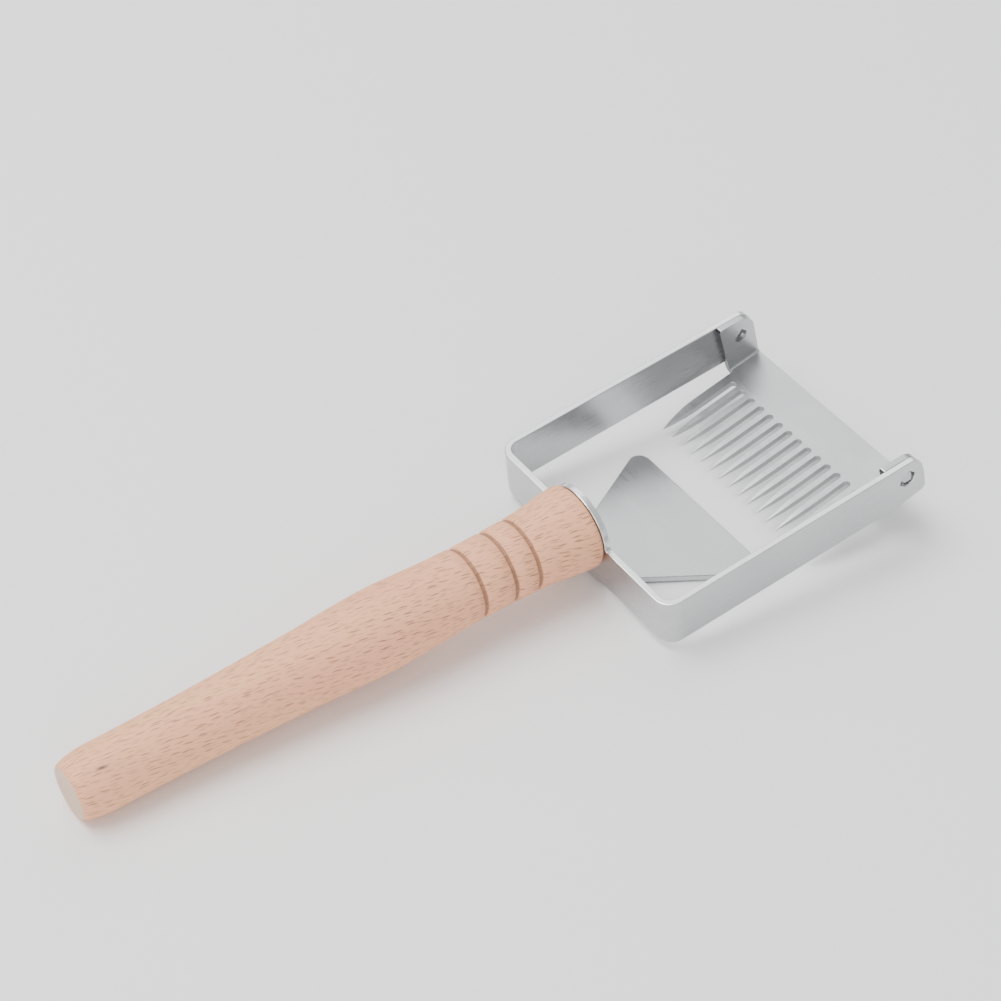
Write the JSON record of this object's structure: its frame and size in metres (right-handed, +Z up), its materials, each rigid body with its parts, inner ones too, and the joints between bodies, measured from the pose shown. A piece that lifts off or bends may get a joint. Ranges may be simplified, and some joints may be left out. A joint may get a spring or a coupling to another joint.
{
  "type": "uncapping knife",
  "caption": "Hand tool for opening honeycomb: a comb of pointed steel tines in a folded steel frame with a guide plate, on a turned wooden handle.",
  "frame": {"origin": "middle of the box on the bench the tool lies on, on its guide plate's front edge and its butt", "axes": "+X from the handle to the comb, +Y to the tool's left, +Z up from the bench"},
  "size_m": [0.2416, 0.075, 0.0305],
  "materials": {
    "frame_stainless": "finely brushed stainless sheet, satin",
    "comb_stainless": "finely brushed stainless sheet, satin",
    "turned_beech": "pale pinkish beech with short brown flecks, sanded, unvarnished",
    "zinc_plated_steel": "bright zinc plating"
  },
  "bodies": {
    "root": {"frame": "frame_stainless", "comb": "comb_stainless", "handle": "turned_beech", "handle_screw": "zinc_plated_steel"}
  },
  "joints": []
}
